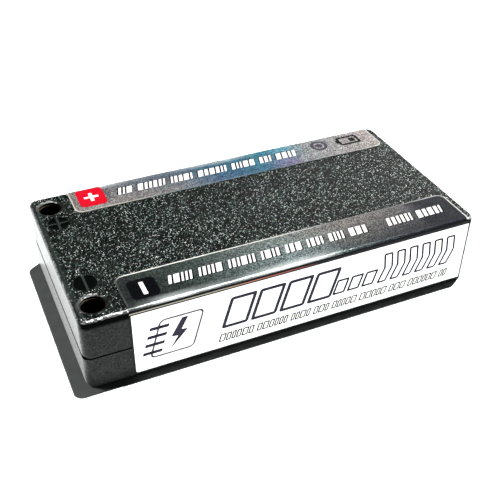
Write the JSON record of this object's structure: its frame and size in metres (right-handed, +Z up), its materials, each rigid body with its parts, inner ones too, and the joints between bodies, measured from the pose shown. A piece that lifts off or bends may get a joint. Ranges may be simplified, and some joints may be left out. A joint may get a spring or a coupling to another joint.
{
  "type": "lipo battery pack",
  "caption": "Low rectangular hard-case battery pack with recessed bullet sockets in one end of its top face and wrap-over labels along both long sides.",
  "frame": {"origin": "centre of the underside of the case", "axes": "+X along the case away from the sockets, +Y towards the positive socket, +Z up out of the face with the sockets"},
  "size_m": [0.093, 0.0472, 0.0179],
  "materials": {
    "case_plastic": "spark-textured moulding",
    "label_film": "printed rainbow foil above, white print on the side",
    "gold_plate": "bright plating",
    "copper": "bare copper strip",
    "solder": "bright tin",
    "circuit_board": "green solder mask",
    "fish_paper": "pressed fibre",
    "pouch_film": "laminated film",
    "electrode": "coated foil stack",
    "aluminium_tab": "rolled",
    "nickel_tab": "nickel plated",
    "adhesive_tape": "double-sided tissue tape",
    "foam": "closed-cell foam"
  },
  "bodies": {
    "root": {"upper_shell": "case_plastic", "lower_shell": "case_plastic", "front_label": "label_film", "back_label": "label_film", "positive_socket": "gold_plate", "negative_socket": "gold_plate", "positive_busbar": "copper", "negative_busbar": "copper", "positive_solder": "solder", "negative_solder": "solder", "terminal_board": "circuit_board", "tab_insulator": "fish_paper", "upper_pouch": "pouch_film", "lower_pouch": "pouch_film", "upper_electrodes": "electrode", "lower_electrodes": "electrode", "upper_positive_tab": "aluminium_tab", "upper_negative_tab": "nickel_tab", "lower_positive_tab": "aluminium_tab", "lower_negative_tab": "nickel_tab", "cell_tape": "adhesive_tape", "floor_tape": "adhesive_tape", "top_pad": "foam", "end_pad": "foam"}
  },
  "joints": []
}
